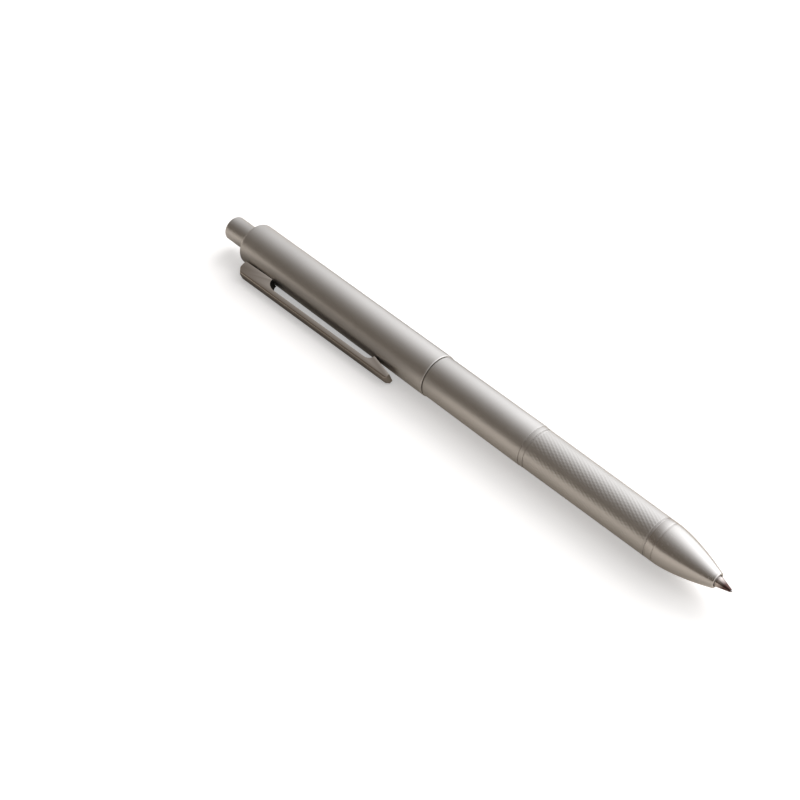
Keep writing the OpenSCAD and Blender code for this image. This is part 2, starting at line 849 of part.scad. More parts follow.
front_barrel();
nose_cone();
upper_barrel();
push_button();
clip();
clip_pin();
clip_spring();
top_bush();
button_spring();
knock_rod();
cam_cylinder();
inner_sleeve();
retaining_ring();
friction_ring();
black_carriage();
black_spring();
black_tube();
black_tip();
black_ball();
red_carriage();
red_spring();
red_tube();
red_tip();
red_ball();
pencil_carriage();
pencil_spring();
pencil_tube();
pencil_tip();
pencil_lead();
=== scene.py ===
# %% [markdown]
# # A twist-action multi pen
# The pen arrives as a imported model: 29 solids that already sit and move correctly. This lesson keeps
# that frame, remodels the pieces that the eye meets first, and gives every piece a finish of its own.
# All lengths are written in millimetres along the pen: a station is measured from the writing tip.

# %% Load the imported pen
import json
import math

import bpy
from mathutils import Matrix, Vector

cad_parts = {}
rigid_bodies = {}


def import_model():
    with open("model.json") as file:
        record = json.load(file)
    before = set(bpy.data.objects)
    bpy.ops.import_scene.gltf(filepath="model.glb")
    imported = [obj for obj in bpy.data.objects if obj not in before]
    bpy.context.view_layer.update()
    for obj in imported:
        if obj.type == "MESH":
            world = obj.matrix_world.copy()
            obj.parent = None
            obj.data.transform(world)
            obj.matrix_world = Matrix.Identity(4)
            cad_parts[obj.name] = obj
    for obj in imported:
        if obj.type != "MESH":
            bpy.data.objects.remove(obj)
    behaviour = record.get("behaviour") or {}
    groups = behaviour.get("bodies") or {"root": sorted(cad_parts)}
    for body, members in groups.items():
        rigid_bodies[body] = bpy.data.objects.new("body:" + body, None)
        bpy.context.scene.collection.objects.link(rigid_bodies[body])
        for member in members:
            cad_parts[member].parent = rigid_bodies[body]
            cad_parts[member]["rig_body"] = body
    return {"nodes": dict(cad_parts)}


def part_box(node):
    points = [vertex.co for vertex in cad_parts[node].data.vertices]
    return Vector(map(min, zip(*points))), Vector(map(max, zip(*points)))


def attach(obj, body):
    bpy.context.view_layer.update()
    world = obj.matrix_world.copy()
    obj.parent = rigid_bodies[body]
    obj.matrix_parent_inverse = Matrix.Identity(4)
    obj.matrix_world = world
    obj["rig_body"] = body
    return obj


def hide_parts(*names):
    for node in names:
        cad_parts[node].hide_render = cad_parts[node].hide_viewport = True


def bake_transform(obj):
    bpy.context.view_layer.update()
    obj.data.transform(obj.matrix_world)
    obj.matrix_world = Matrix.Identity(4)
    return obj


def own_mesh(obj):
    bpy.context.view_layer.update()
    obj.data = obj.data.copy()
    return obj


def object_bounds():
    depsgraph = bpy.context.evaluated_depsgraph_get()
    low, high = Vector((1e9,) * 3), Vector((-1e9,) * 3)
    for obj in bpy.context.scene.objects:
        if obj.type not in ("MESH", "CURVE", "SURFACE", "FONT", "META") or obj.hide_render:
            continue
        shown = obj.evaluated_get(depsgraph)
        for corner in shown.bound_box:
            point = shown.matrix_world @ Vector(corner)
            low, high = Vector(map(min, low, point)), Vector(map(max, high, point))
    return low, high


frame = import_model()
cad_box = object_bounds()
nodes = frame["nodes"]

# %% [markdown]
# ## Where the pen lies
# The barrel is a body of revolution, so one axis and a few directions describe the whole pen. They are
# read from the solids instead of being typed again: the upper barrel's box gives the axis, and the box
# of the whole pen gives the button's end. The clip leans to one side, by the angle at which it touches
# the floor.

# %% Axis and directions
MM = 0.001
barrel_low, barrel_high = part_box("upper_barrel")
PEN_L = 148.4
TIP_X = cad_box[0][0] + PEN_L * MM
AXIS = Vector((0, (barrel_low.y + barrel_high.y) / 2, (barrel_low.z + barrel_high.z) / 2))
CLIP_ROLL = math.radians(28.4105)
CLIP_WAY = Vector((0, -math.cos(CLIP_ROLL), -math.sin(CLIP_ROLL)))
SIDE_WAY = Vector((0, -math.sin(CLIP_ROLL), math.cos(CLIP_ROLL)))


def station(u):
    """X of a station that is u millimetres from the writing tip."""
    return TIP_X - u * MM


def place(u, out, side=0.0):
    """Point at a station, a distance from the axis towards the clip, and one across it."""
    at = AXIS + CLIP_WAY * (out * MM) + SIDE_WAY * (side * MM)
    return Vector((station(u), at.y, at.z))


print("axis at", [round(x / MM, 3) for x in AXIS], "tip at", round(TIP_X / MM, 3))

# %% [markdown]
# ## Camera
# A camera can be set by eye or solved from points that are known on the object. Here it is solved: a
# 72 mm lens on a 36 mm sensor, turned so that the pen runs from the upper left to the lower right.

# %% Camera
EYE = Vector((0.166791, -0.205207, 0.216731))
RIGHT = Vector((0.68563, 0.72001, 0.10718))
UP = Vector((-0.51776, 0.37886, 0.76707))
BACK = RIGHT.cross(UP)
LENS, SENSOR_W, NEAREST = 72, 36, 0.01
bpy.ops.object.camera_add(location=EYE)
camera = bpy.context.object
camera.name = "camera"
camera.matrix_world = Matrix.Translation(EYE) @ Matrix((RIGHT, UP, BACK)).transposed().to_4x4()
camera.data.lens = LENS
camera.data.sensor_width = SENSOR_W
camera.data.clip_start = NEAREST
bpy.context.scene.camera = camera
bpy.context.scene.view_settings.view_transform = "Standard"
print("camera", [round(x, 3) for x in EYE], "lens", camera.data.lens)

# %% [markdown]
# ## Shader helpers
# Every finish below is a small node tree. A helper that adds a node, sets its inputs and links it keeps
# each material readable. Effects that several finishes share are node groups, built once.

# %% Node helpers


def add_node(tree, kind, inputs=None, **settings):
    """Adds a node, sets its properties, and sets or links each named or numbered input."""
    node = tree.nodes.new(kind)
    for name, value in settings.items():
        setattr(node, name, value)
    for key, value in (inputs or {}).items():
        if isinstance(value, bpy.types.NodeSocket):
            tree.links.new(value, node.inputs[key])
        else:
            node.inputs[key].default_value = value
    return node


def math_node(tree, operation, a, b=0.0):
    """Adds a sum, product or the like of one or two values, and gives its output."""
    node = add_node(tree, "ShaderNodeMath", {0: a, 1: b}, operation=operation)
    return node.outputs[0]


def new_group(name, inputs, outputs):
    """A shader node group with float inputs (name, default) and outputs (name, socket type)."""
    group = bpy.data.node_groups.new(name, "ShaderNodeTree")
    for label, default in inputs:
        socket = group.interface.new_socket(label, in_out="INPUT", socket_type="NodeSocketFloat")
        socket.default_value = default
    for label, kind in outputs:
        group.interface.new_socket(label, in_out="OUTPUT", socket_type=kind)
    return group, group.nodes.new("NodeGroupInput").outputs, group.nodes.new("NodeGroupOutput").inputs


print("node helpers ready")

# %% [markdown]
# ## Shared effects
# A satin metal coat is never even: it has a fine pearl grain, and hands leave broad faint smears. A
# turned or drawn piece also keeps hair-fine lines round its axis. The first group makes grain and
# smears, the second makes the lines, and each finish mixes them in its own measure.

# %% Grain and smears
grain_group, grain_in, grain_out = new_group(
    "pearl_grain",
    [("Grain Size", 6000.0), ("Smear Size", 90.0)],
    [("Grain", "NodeSocketFloat"), ("Smear", "NodeSocketFloat")],
)
spot = add_node(grain_group, "ShaderNodeTexCoord").outputs["Object"]
grain = add_node(grain_group, "ShaderNodeTexNoise",
                 {"Vector": spot, "Scale": grain_in["Grain Size"], "Detail": 3.0, "Roughness": 0.6})
smear = add_node(grain_group, "ShaderNodeTexNoise",
                 {"Vector": spot, "Scale": grain_in["Smear Size"], "Detail": 4.0, "Roughness": 0.55})
grain_group.links.new(grain.outputs[0], grain_out["Grain"])
grain_group.links.new(smear.outputs[0], grain_out["Smear"])
print("group", grain_group.name)

# %% Lines left by turning
turning_group, turning_in, turning_out = new_group(
    "turning_lines", [("Line Scale", 9000.0)], [("Lines", "NodeSocketFloat")])
spot = add_node(turning_group, "ShaderNodeTexCoord").outputs["Object"]
along = add_node(turning_group, "ShaderNodeSeparateXYZ", {0: spot}).outputs["X"]
along_x = add_node(turning_group, "ShaderNodeCombineXYZ", {"X": along})
lines = add_node(turning_group, "ShaderNodeTexNoise",
                 {"Vector": along_x.outputs[0], "Scale": turning_in["Line Scale"], "Detail": 4.0})
turning_group.links.new(lines.outputs[0], turning_out["Lines"])
print("group", turning_group.name)

# %% [markdown]
# ## Finishes
# One function writes a metal or plastic finish from a colour, a roughness and the amounts of grain,
# smears and turning lines. The grain moves the roughness and a very small bump, the smears move the
# colour by a few percent. What is the same all over stays on the shader's own sockets.

# %% Finish builder
NOISE_LOW, NOISE_HIGH = 0.25, 0.75
BUMP_DEPTH = 0.004


def around(tree, value, centre, swing):
    """Turns a noise pattern, which mostly keeps to its middle, into centre plus or minus swing."""
    ramp = add_node(tree, "ShaderNodeMapRange",
                    {"Value": value, "From Min": NOISE_LOW, "From Max": NOISE_HIGH,
                     "To Min": centre - swing, "To Max": centre + swing})
    return ramp.outputs[0]


def finish(name, colour, metallic, roughness, grain_size=6000.0, grain=0.04, bump=0.1, smear=0.05,
           lines=0.0):
    """A procedural material: colour with smears, roughness with grain and lines, and a fine bump."""
    material = bpy.data.materials.new(name)
    material.use_nodes = True
    tree = material.node_tree
    shader = tree.nodes["Principled BSDF"]
    marks = add_node(tree, "ShaderNodeGroup", node_tree=grain_group)
    marks.inputs["Grain Size"].default_value = grain_size
    tint = add_node(tree, "ShaderNodeHueSaturation",
                    {"Color": (*colour, 1.0), "Value": around(tree, marks.outputs["Smear"], 1.0, smear)})
    rough = around(tree, marks.outputs["Grain"], roughness, grain)
    height = marks.outputs["Grain"]
    if lines:
        turned = add_node(tree, "ShaderNodeGroup", node_tree=turning_group)
        rough = math_node(tree, "ADD", rough, around(tree, turned.outputs["Lines"], 0.0, lines))
        height = turned.outputs["Lines"]
    relief = add_node(tree, "ShaderNodeBump",
                      {"Height": height, "Strength": bump, "Distance": BUMP_DEPTH * MM})
    tree.links.new(tint.outputs[0], shader.inputs["Base Color"])
    tree.links.new(rough, shader.inputs["Roughness"])
    tree.links.new(relief.outputs[0], shader.inputs["Normal"])
    shader.inputs["Metallic"].default_value = metallic
    return material


print("finish builder ready")

# %% [markdown]
# ## The pen's finishes
# The two barrels and the button share a satin silver coat with a slight warm tint. The nose is the same
# metal polished further. The clip is dark bright chrome. Inside there are steel, brass, ivory and
# coloured plastics, rubber and graphite, which show when the front barrel comes off.

# %% Finishes
finishes = {
    "satin_silver": finish("satin_silver", (0.74, 0.725, 0.715), 1.0, 0.38, grain_size=2600.0, grain=0.06,
                           smear=0.03, bump=0.3),
    "gloss_silver": finish("gloss_silver", (0.76, 0.74, 0.73), 1.0, 0.26, grain=0.02, smear=0.02,
                           bump=0.1),
    "clip_chrome": finish("clip_chrome", (0.64, 0.59, 0.55), 1.0, 0.08, grain=0.02, smear=0.04,
                          bump=0.05),
    "spring_steel": finish("spring_steel", (0.56, 0.56, 0.58), 1.0, 0.28, grain=0.06, smear=0.06),
    "insert_steel": finish("insert_steel", (0.60, 0.60, 0.60), 1.0, 0.25, lines=0.05, smear=0.05),
    "tip_metal": finish("tip_metal", (0.66, 0.60, 0.58), 1.0, 0.15, lines=0.03, smear=0.05),
    "brass": finish("brass", (0.66, 0.47, 0.20), 1.0, 0.27, lines=0.06, smear=0.08),
    "core_plastic": finish("core_plastic", (0.74, 0.70, 0.60), 0.0, 0.42, smear=0.03, grain_size=3000.0),
    "black_plastic": finish("black_plastic", (0.020, 0.020, 0.022), 0.0, 0.38, smear=0.15),
    "red_plastic": finish("red_plastic", (0.42, 0.022, 0.020), 0.0, 0.38, smear=0.06),
    "rubber": finish("rubber", (0.014, 0.014, 0.014), 0.0, 0.65, grain=0.08, smear=0.2, bump=0.4),
    "graphite": finish("graphite", (0.045, 0.045, 0.050), 0.35, 0.45, smear=0.15),
}
slot_of = {name: slot.material.name for name, node in nodes.items() for slot in node.material_slots}
for name, node in nodes.items():
    for slot in node.material_slots:
        slot.material = finishes[slot_of[name].split(".")[0]]
print("finishes:", ", ".join(finishes))

# %% [markdown]
# ## A trace of ink
# A ballpoint in use is never quite clean: its cone darkens towards the ball. A mask along the pen mixes
# a dark red-brown into the tip's own colour. It reads Object coordinates, so it stays with the metal.

# %% Ink on the tip
INK_Z, INK_FULL_Z = 2.9, 1.7
INK_COLOUR = (0.14, 0.085, 0.08, 1)
tree = finishes["tip_metal"].node_tree
base = tree.nodes["Principled BSDF"].inputs["Base Color"]
spot = add_node(tree, "ShaderNodeTexCoord").outputs["Object"]
along = add_node(tree, "ShaderNodeSeparateXYZ", {0: spot}).outputs["X"]
stain = add_node(tree, "ShaderNodeMapRange",
                 {"Value": along, "From Min": station(INK_Z), "From Max": station(INK_FULL_Z)})
inked = add_node(tree, "ShaderNodeMixRGB", {"Fac": stain.outputs[0], "Color1": base.links[0].from_socket,
                                            "Color2": INK_COLOUR})
tree.links.new(inked.outputs[0], base)
print("ink from station", INK_Z, "to the ball")

# %% [markdown]
# ## Turning a piece
# A lathe piece could be a cylinder that is cut and scaled ring by ring. It is quicker and truer to draw
# half of its section as a line of points, by extruding one vertex again and again, and then to spin
# that line round the axis. A bevel softens the edges afterwards, as tumbling does with metal.

# %% Lathe helpers
DOUBLES = 2e-7


def on_axis(u, r):
    """Point straight above the axis at a station and a radius."""
    return Vector((station(u), AXIS.y, AXIS.z + r * MM))


def lone_vertex(name, at):
    """A new mesh with one vertex, left in edit mode with that vertex selected."""
    bpy.ops.object.select_all(action="DESELECT")
    bpy.ops.mesh.primitive_plane_add(size=MM, calc_uvs=False, location=(0, 0, 0))
    piece = bpy.context.object
    piece.name = piece.data.name = name
    bpy.ops.object.mode_set(mode="EDIT")
    bpy.ops.mesh.select_mode(type="VERT")
    bpy.ops.mesh.select_all(action="SELECT")
    bpy.ops.mesh.merge(type="CENTER")
    bpy.ops.transform.translate(value=at)
    return piece


def draw_line(points):
    """Extrudes the selected vertex from point to point."""
    for a, b in zip(points, points[1:]):
        bpy.ops.mesh.extrude_region_move(TRANSFORM_OT_translate={"value": b - a})


def close_up(threshold=DOUBLES):
    """Merges doubles and turns all faces outwards, in edit mode."""
    bpy.ops.mesh.select_all(action="SELECT")
    bpy.ops.mesh.remove_doubles(threshold=threshold)
    bpy.ops.mesh.normals_make_consistent(inside=False)


def turn(name, outline, steps=144):
    """Spins an outline of (station, radius) points into a closed piece."""
    points = [on_axis(u, r) for u, r in outline]
    piece = lone_vertex(name, points[0])
    draw_line(points)
    bpy.ops.mesh.select_all(action="SELECT")
    bpy.ops.mesh.spin(steps=steps, angle=math.tau, center=AXIS, axis=(1, 0, 0))
    close_up()
    bpy.ops.object.mode_set(mode="OBJECT")
    return piece


print("lathe helpers ready")

# %% [markdown]
# ## Finishing a piece
# Modifiers are applied at once, so that the mesh on screen is the mesh that is kept. A finished piece
# then takes over from the solid that it stands for: its finish and the body that it moves with.

# %% Finishing helpers


def apply_modifier(piece, kind, **settings):
    """Adds a modifier with its settings and applies it."""
    modifier = piece.modifiers.new(kind.lower(), kind)
    for key, value in settings.items():
        setattr(modifier, key, value)
    bpy.ops.object.select_all(action="DESELECT")
    bpy.context.view_layer.objects.active = piece
    piece.select_set(True)
    bpy.ops.object.modifier_apply(modifier=modifier.name)


def soften(piece, width, segments=2, angle=28):
    """Rounds every edge that is sharper than an angle."""
    apply_modifier(piece, "BEVEL", width=width * MM, segments=segments, limit_method="ANGLE",
                   angle_limit=math.radians(angle))


def hand_over(piece, node, smooth=32, rides=True):
    """Shades a piece, gives it its node's finish and body, and hides the node."""
    bpy.ops.object.select_all(action="DESELECT")
    bpy.context.view_layer.objects.active = piece
    piece.select_set(True)
    bpy.ops.object.shade_smooth_by_angle(angle=math.radians(smooth))
    slot = slot_of[node].split(".")[0]
    piece.data.materials.clear()
    piece.data.materials.append(finishes[slot])
    if rides:
        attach(piece, nodes[node]["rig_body"])
    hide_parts(node)
    print(piece.name, len(piece.data.vertices), "vertices, for", node)


print("finishing helpers ready")

# %% [markdown]
# ## Upper barrel
# A drawn tube with a rounded shoulder, a hole for the button, and a bevelled lower edge that makes half
# of the seam. The slot for the clip's tongue is milled last, here with a boolean.

# %% Upper barrel
UPPER_R, UPPER_BORE_R = 5.1, 4.5
UPPER_Z, TOP_Z, ROOF_Z = 79.5, 140.5, 139.6
SHOULDER_R, EDGE_BEVEL, BUTTON_HOLE_R, HOLE_BEVEL = 0.8, 0.12, 3.0, 0.2
RING_Z, RING_END_Z, RING_ROOM_R = 83.85, 84.55, 4.67


def arc(u, r, radius, start, end, steps=10):
    """Points of an arc round (u, r); 0 degrees is outwards, 90 degrees towards the button."""
    turns = [math.radians(start + (end - start) * i / steps) for i in range(steps + 1)]
    return [(u + radius * math.sin(a), r + radius * math.cos(a)) for a in turns]


upper = turn("upper_barrel_tube", [
    (UPPER_Z, UPPER_BORE_R), (UPPER_Z, UPPER_R - EDGE_BEVEL), (UPPER_Z + EDGE_BEVEL, UPPER_R),
    *arc(TOP_Z - SHOULDER_R, UPPER_R - SHOULDER_R, SHOULDER_R, 0, 90),
    (TOP_Z, BUTTON_HOLE_R + HOLE_BEVEL), (TOP_Z - HOLE_BEVEL, BUTTON_HOLE_R),
    (ROOF_Z, BUTTON_HOLE_R), (ROOF_Z, UPPER_BORE_R),
    (RING_END_Z, UPPER_BORE_R), (RING_END_Z, RING_ROOM_R), (RING_Z, RING_ROOM_R), (RING_Z, UPPER_BORE_R),
    (UPPER_Z, UPPER_BORE_R),
])
soften(upper, width=0.04)
print("tube:", len(upper.data.vertices), "vertices")

# %% Slot for the clip's tongue
SLOT_Z, SLOT_END_Z, SLOT_W, SLOT_FROM_R, SLOT_PAST = 128.3, 132.1, 2.04, 2.55, 1.0


def cutter_box(u0, u1, out0, out1, width):
    """A box across the clip's middle, used up by one boolean."""
    bpy.ops.object.select_all(action="DESELECT")
    bpy.ops.mesh.primitive_cube_add(size=1, calc_uvs=False, location=(0, 0, 0))
    box = bpy.context.object
    for v in box.data.vertices:
        v.co = place(u0 if v.co.x < 0 else u1, out0 if v.co.y < 0 else out1, v.co.z * width)
    bpy.ops.object.mode_set(mode="EDIT")
    close_up()
    bpy.ops.object.mode_set(mode="OBJECT")
    return box


def carve(piece, cutter):
    """Takes a cutter's shape out of a piece and deletes the cutter."""
    apply_modifier(piece, "BOOLEAN", operation="DIFFERENCE", object=cutter, solver="EXACT")
    bpy.data.objects.remove(cutter)


carve(upper, cutter_box(SLOT_Z, SLOT_END_Z, SLOT_FROM_R, UPPER_R + SLOT_PAST, SLOT_W))
hand_over(upper, "upper_barrel")

# %% [markdown]
# ## Push button
# A plain cap with a rounded end that slides in the barrel's top hole, held by a flange inside. A deep
# socket takes the rod. The outline is short, so it is a quick second use of the lathe.

# %% Push button
BUTTON_R, BUTTON_ROUND, END_Z = 2.95, 0.6, 148.4
FLANGE_Z, FLANGE_END_Z, FLANGE_R = 138.5, 139.5, 3.5
SOCKET_R, SOCKET_Z = 1.22, 142.52
button = turn("push_button_cap", [
    (FLANGE_Z, SOCKET_R), (FLANGE_Z, FLANGE_R), (FLANGE_END_Z, FLANGE_R), (FLANGE_END_Z, BUTTON_R),
    *arc(END_Z - BUTTON_ROUND, BUTTON_R - BUTTON_ROUND, BUTTON_ROUND, 0, 90),
    (END_Z, 0.0), (SOCKET_Z, 0.0), (SOCKET_Z, SOCKET_R), (FLANGE_Z, SOCKET_R),
], steps=96)
soften(button, width=0.05)
hand_over(button, "push_button")

# %% [markdown]
# ## Nose
# A bullet shape: one long curve that runs into a smooth band without a kink, a small rounded front and
# a fine groove before the band. A revolved curve would do, but the spun outline also gives the
# hollow inside and the spigot that screws into the grip.

# %% Nose
NOSE_Z, BAND_Z, GRIP_Z = 3.5, 16.2, 18.0
NOSE_R, NOSE_FRONT_R, NOSE_FRONT_L, NOSE_RIM_R, NOSE_POWER = 4.575, 1.82, 0.35, 1.525, 1.6
NOSE_WALL, NOSE_BORE_R, NOSE_HOLE_R = 0.45, 3.86, 1.33
SPIGOT_R, SPIGOT_END_Z = 4.14, 22.8
FRONT_STEPS, BODY_STEPS, INSIDE_STEPS = 10, 40, 20
GROOVE_W, GROOVE_DEPTH, GROOVE_DRAFT = 0.23, 0.17, 0.02
SLOPE_W, SLOPE_FALL = 0.19, 0.018
shell_z = NOSE_Z + NOSE_FRONT_L
inside_z = BAND_Z - NOSE_WALL


def ring_groove(u, r):
    """A narrow, nearly square groove between two slopes that fall away a little."""
    half, foot_r, floor_r = GROOVE_W / 2, r - SLOPE_FALL, r - GROOVE_DEPTH
    return [(u - half - SLOPE_W, r), (u - half, foot_r), (u - half + GROOVE_DRAFT, floor_r),
            (u + half - GROOVE_DRAFT, floor_r), (u + half, foot_r), (u + half + SLOPE_W, r)]


def ogive(u):
    """Radius of the nose at a station."""
    return NOSE_R - (NOSE_R - NOSE_FRONT_R) * (max(0.0, BAND_Z - u) / (BAND_Z - shell_z)) ** NOSE_POWER


def spread(start, end, steps):
    """Evenly spaced stations, with both ends."""
    return [start + (end - start) * i / steps for i in range(steps + 1)]


front = [(shell_z - NOSE_FRONT_L * math.cos(a), NOSE_RIM_R + (NOSE_FRONT_R - NOSE_RIM_R) * math.sin(a))
         for a in (math.radians(90 * i / FRONT_STEPS) for i in range(FRONT_STEPS + 1))]
body_line = [(u, ogive(u)) for u in spread(shell_z, BAND_Z - GROOVE_W / 2 - SLOPE_W, BODY_STEPS)[1:]]
inside = [(u, min(ogive(u) - NOSE_WALL, NOSE_BORE_R)) for u in spread(inside_z, shell_z, INSIDE_STEPS)]
nose = turn("nose_cone_shell", [
    *front, *body_line, *ring_groove(BAND_Z, NOSE_R)[1:], (GRIP_Z, NOSE_R),
    (GRIP_Z, SPIGOT_R), (SPIGOT_END_Z, SPIGOT_R), (SPIGOT_END_Z, NOSE_BORE_R),
    *inside, (NOSE_Z, NOSE_HOLE_R), front[0],
])
soften(nose, width=0.02)
hand_over(nose, "nose_cone")

# %% [markdown]
# ## Front barrel with its cross-cut grip
# The grip is cut with two families of fine helical lines. A bump texture would vanish at the outline
# and leave the mesh smooth, so the cuts are modelled. A fine flat grid gets two sets of soft waves, one
# along each of its sides. Skewing it turns its squares into long diamonds, with a wave along every side.
# One family is cut deeper, so that its lines read as lines and the other only breaks them up.
# The sheet is trimmed with four bisects, rolled up, and the tube's ends are grown from its open rims.

# %% Flat sheet of cut lines
GRIP_FROM, GRIP_TO, GRIP_FRONT_R, GRIP_REAR_R = 18.6, 49.7, 4.6, 4.8
CUT_LINES, STEEP_PITCH, FLAT_PITCH = 40, 1.40, 1.66
STEEP_DEPTH, FLAT_DEPTH = 0.019, 0.011
CUT_DEPTH = STEEP_DEPTH + FLAT_DEPTH
SHEET_R = (GRIP_FRONT_R + GRIP_REAR_R) / 2
CELL_W = math.tau * SHEET_R / CUT_LINES
CELL_L = STEEP_PITCH * FLAT_PITCH / (STEEP_PITCH + FLAT_PITCH)
CELLS, CELL_STEPS = 72, 5
sheet_l, sheet_w = (GRIP_TO - GRIP_FROM) * MM, math.tau * SHEET_R * MM


def wave(across, depth):
    """Height of one family of lines, cut to a depth, at a place in cells."""
    return depth / 2 * (1 + math.cos(math.tau * across))


bpy.ops.object.select_all(action="DESELECT")
bpy.ops.mesh.primitive_grid_add(x_subdivisions=CELLS * CELL_STEPS, y_subdivisions=CELLS * CELL_STEPS,
                                size=CELLS * MM, calc_uvs=False, location=(0, 0, 0))
grip = bpy.context.object
grip.name = grip.data.name = "front_barrel_cut_grip"
for v in grip.data.vertices:
    v.co.z = (wave(v.co.x / MM, STEEP_DEPTH) + wave(v.co.y / MM, FLAT_DEPTH)) * MM
skew = CELL_L / STEEP_PITCH
grip.data.transform(Matrix(((CELL_L, -CELL_L, 0, 0), (CELL_W * (1 - skew), CELL_W * skew, 0, 0),
                            (0, 0, 1, 0), (0, 0, 0, 1))))
print("flat sheet:", len(grip.data.polygons), "faces")

# %% Trim the sheet
bpy.ops.object.mode_set(mode="EDIT")
for half, way in ((sheet_l / 2, Vector((1, 0, 0))), (sheet_w / 2, Vector((0, 1, 0)))):
    for sign in (-1, 1):
        bpy.ops.mesh.select_all(action="SELECT")
        bpy.ops.mesh.bisect(plane_co=way * half * sign, plane_no=way * sign, clear_outer=True,
                            threshold=1e-8)
bpy.ops.object.mode_set(mode="OBJECT")
print("trimmed to", len(grip.data.polygons), "faces")

# %% Roll the sheet up
NEAR = 2e-6
for v in grip.data.vertices:
    share = 0.5 - v.co.x / sheet_l
    angle = v.co.y / (SHEET_R * MM)
    r = (GRIP_FRONT_R + (GRIP_REAR_R - GRIP_FRONT_R) * share - CUT_DEPTH) * MM + v.co.z
    v.co = (station(GRIP_FROM + (GRIP_TO - GRIP_FROM) * share),
            AXIS.y + r * math.sin(angle), AXIS.z + r * math.cos(angle))
bpy.ops.object.mode_set(mode="EDIT")
close_up(NEAR)
bpy.ops.object.mode_set(mode="OBJECT")
print("rolled up:", len(grip.data.vertices), "vertices")

# %% [markdown]
# ## The tube's ends
# From the front rim the tube turns in to the socket for the nose. From the rear rim it runs over two
# ring grooves and the plain collar to the seam and back into the bore. Each step extrudes the rim and
# sets it to a new station and radius, and a bridge closes the bore at the end.

# %% Rim helpers


def pick_ring(piece, u):
    """Selects the vertices at one station, in edit mode."""
    bpy.ops.mesh.select_all(action="DESELECT")
    bpy.ops.object.mode_set(mode="OBJECT")
    for v in piece.data.vertices:
        v.select = abs(v.co.x - station(u)) < NEAR
    bpy.ops.object.mode_set(mode="EDIT")


def grow_rim(piece, rings):
    """Extrudes the selected rim through rings of (station, radius)."""
    for u, r in rings:
        bpy.ops.mesh.extrude_region_move()
        bpy.ops.object.mode_set(mode="OBJECT")
        for v in piece.data.vertices:
            if v.select:
                out = Vector((0, v.co.y - AXIS.y, v.co.z - AXIS.z)).normalized() * (r * MM)
                v.co = (station(u), AXIS.y + out.y, AXIS.z + out.z)
        bpy.ops.object.mode_set(mode="EDIT")


print("rim helpers ready")

# %% Grow the ends
RINGS_Z, RING_PITCH, PLAIN_Z, SEAM_Z = 50.1, 1.2, 51.7, 79.3
COLLAR_R, COLLAR_BORE_R, SEAM_BEVEL = 4.9, 4.25, 0.08
SOCKET_NOSE_R, SOCKET_NOSE_Z, GRIP_BORE_R, CORE_Z = 4.16, 23.0, 3.92, 67.9
LIP_L, LIP_FALL, LIP_END_L, RUN_OUT_L = 0.04, 0.03, 0.12, 0.05
bpy.ops.object.mode_set(mode="EDIT")
bpy.ops.mesh.select_mode(type="VERT")
pick_ring(grip, GRIP_FROM)
grow_rim(grip, [(GRIP_FROM - LIP_L, NOSE_R - LIP_FALL), (GRIP_FROM - LIP_END_L, NOSE_R),
                (GRIP_Z + GROOVE_W, NOSE_R),
                (GRIP_Z + GROOVE_W - GROOVE_DRAFT, NOSE_R - GROOVE_DEPTH), (GRIP_Z, NOSE_R - GROOVE_DEPTH),
                (GRIP_Z, SOCKET_NOSE_R), (SOCKET_NOSE_Z, SOCKET_NOSE_R), (SOCKET_NOSE_Z, GRIP_BORE_R)])
pick_ring(grip, GRIP_TO)
grow_rim(grip, [(GRIP_TO + RUN_OUT_L, GRIP_REAR_R), *ring_groove(RINGS_Z, GRIP_REAR_R),
                *ring_groove(RINGS_Z + RING_PITCH, (GRIP_REAR_R + COLLAR_R) / 2)[:-1], (PLAIN_Z, COLLAR_R),
                (SEAM_Z - SEAM_BEVEL, COLLAR_R), (SEAM_Z, COLLAR_R - SEAM_BEVEL), (SEAM_Z, COLLAR_BORE_R),
                (CORE_Z, COLLAR_BORE_R), (CORE_Z, GRIP_BORE_R)])
bpy.ops.mesh.select_all(action="DESELECT")
bpy.ops.mesh.select_non_manifold(use_wire=False, use_multi_face=False, use_non_contiguous=False,
                                 use_verts=False)
bpy.ops.mesh.bridge_edge_loops()
close_up()
bpy.ops.object.mode_set(mode="OBJECT")
hand_over(grip, "front_barrel", smooth=25)

# %% [markdown]
# ## Clip
# The clip is one bar: a tall block, a straight arm and a foot. Extruding its side outline and bevelling
# the edges would not follow the barrel under the block. So the outline is extruded in thin slices
# across the width, and each slice gets its own outer line and its own underside.

# %% Clip outline
CLIP_TIP_Z, CLIP_END_Z, BLOCK_Z = 87.8, 137.4, 128.2
CLIP_OUT_FRONT, CLIP_OUT_REAR, ARM_T, CLIP_HALF_W = 7.9, 8.5, 1.42, 1.45
EDGE_R, REAR_BEVEL, NOTCH_R, NOTCH_L = 0.6, 1.1, 1.6, 2.6
SEAT_R, FOOT_RISE, FOOT_NOSE_L, FOOT_SEAT_L, FOOT_RAMP_L = 5.2, 1.2, 5.6, 0.4, 2.0
BLOCK_GAP_FRONT, BLOCK_GAP_REAR = 0.08, 0.36
QUARTER_STEPS = 10


def clip_out(u):
    """Distance of the clip's outer face from the axis."""
    return CLIP_OUT_FRONT + (u - CLIP_TIP_Z) * (CLIP_OUT_REAR - CLIP_OUT_FRONT) / (CLIP_END_Z - CLIP_TIP_Z)


